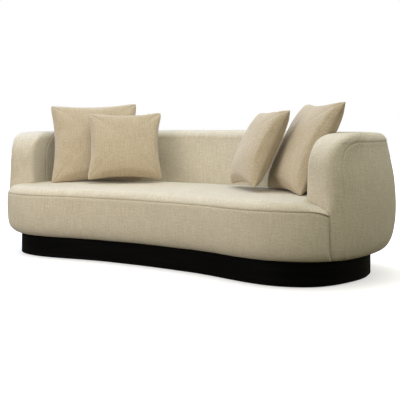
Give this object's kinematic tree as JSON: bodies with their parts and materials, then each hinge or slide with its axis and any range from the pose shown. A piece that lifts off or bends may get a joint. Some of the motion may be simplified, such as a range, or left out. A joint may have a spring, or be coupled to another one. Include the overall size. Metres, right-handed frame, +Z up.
{
  "type": "sofa",
  "caption": "Curved kidney-shaped sofa with a wrap-around upholstered back and arms, loose scatter cushions and a black wooden plinth base.",
  "frame": {"origin": "on the floor, in the middle of the sofa's bounding box", "axes": "+X along the sofa's length to the right of a viewer in front, +Y from the seat front to the back, +Z up"},
  "size_m": [2.4572, 1.078, 0.9285],
  "materials": {
    "sofa_fabric": "matte",
    "cushion_fabric": "matte",
    "black_wood": "satin",
    "plywood": "matte",
    "timber": "matte",
    "foam": "matte",
    "fill": "matte",
    "webbing": "matte",
    "dust_cloth": "matte",
    "steel": "satin",
    "glide": "matte"
  },
  "bodies": {
    "sofa_body": {"plinth_fascia_front": "black_wood", "plinth_fascia_right": "black_wood", "plinth_fascia_back": "black_wood", "plinth_fascia_left": "black_wood", "plinth_top_panel": "plywood", "plinth_brace_left": "plywood", "plinth_brace_centre": "plywood", "plinth_brace_right": "plywood", "glide_front_left": "glide", "glide_front_right": "glide", "glide_rear_left": "glide", "glide_rear_right": "glide", "base_bolt_1": "steel", "base_bolt_2": "steel", "base_bolt_3": "steel", "base_bolt_4": "steel", "seat_rail_front": "timber", "seat_rail_rear": "timber", "seat_rail_left": "timber", "seat_rail_right": "timber", "seat_cross_rail_left": "timber", "seat_cross_rail_centre": "timber", "seat_cross_rail_right": "timber", "webbing_strap_1": "webbing", "webbing_strap_2": "webbing", "webbing_strap_3": "webbing", "webbing_strap_4": "webbing", "webbing_strap_5": "webbing", "webbing_strap_6": "webbing", "dust_cover": "dust_cloth", "seat_foam": "foam", "seat_top_cover": "sofa_fabric", "seat_border_cover": "sofa_fabric", "seat_border_foam": "foam", "shell_foam": "foam", "shell_outer_cover": "sofa_fabric", "shell_inner_cover": "sofa_fabric", "arm_front_cover_left": "sofa_fabric", "arm_front_cover_right": "sofa_fabric", "shell_outer_ply": "plywood", "shell_inner_ply": "plywood", "shell_bottom_rail": "timber", "shell_top_rail": "timber", "shell_rib_1": "timber", "shell_rib_2": "timber", "shell_rib_3": "timber", "shell_rib_4": "timber", "shell_rib_5": "timber"},
    "cushion_left_large": {"cushion_left_large_front_cover": "cushion_fabric", "cushion_left_large_back_cover": "cushion_fabric", "cushion_left_large_insert": "fill"},
    "cushion_left_small": {"cushion_left_small_front_cover": "cushion_fabric", "cushion_left_small_back_cover": "cushion_fabric", "cushion_left_small_insert": "fill"},
    "cushion_right_small": {"cushion_right_small_front_cover": "cushion_fabric", "cushion_right_small_back_cover": "cushion_fabric", "cushion_right_small_insert": "fill"},
    "cushion_right_large": {"cushion_right_large_front_cover": "cushion_fabric", "cushion_right_large_back_cover": "cushion_fabric", "cushion_right_large_insert": "fill"}
  },
  "joints": [
    {"name": "cushion_left_large_lift", "type": "slide", "parent": "sofa_body", "child": "cushion_left_large", "axis": [-0.3038, 0.3374, 0.891], "range_m": [0, 0.45]},
    {"name": "cushion_left_small_lift", "type": "slide", "parent": "sofa_body", "child": "cushion_left_small", "axis": [-0.3038, 0.3374, 0.891], "range_m": [0, 0.45]},
    {"name": "cushion_right_small_lift", "type": "slide", "parent": "sofa_body", "child": "cushion_right_small", "axis": [0.3038, 0.3374, 0.891], "range_m": [0, 0.45]},
    {"name": "cushion_right_large_lift", "type": "slide", "parent": "sofa_body", "child": "cushion_right_large", "axis": [0.3038, 0.3374, 0.891], "range_m": [0, 0.45]}
  ]
}
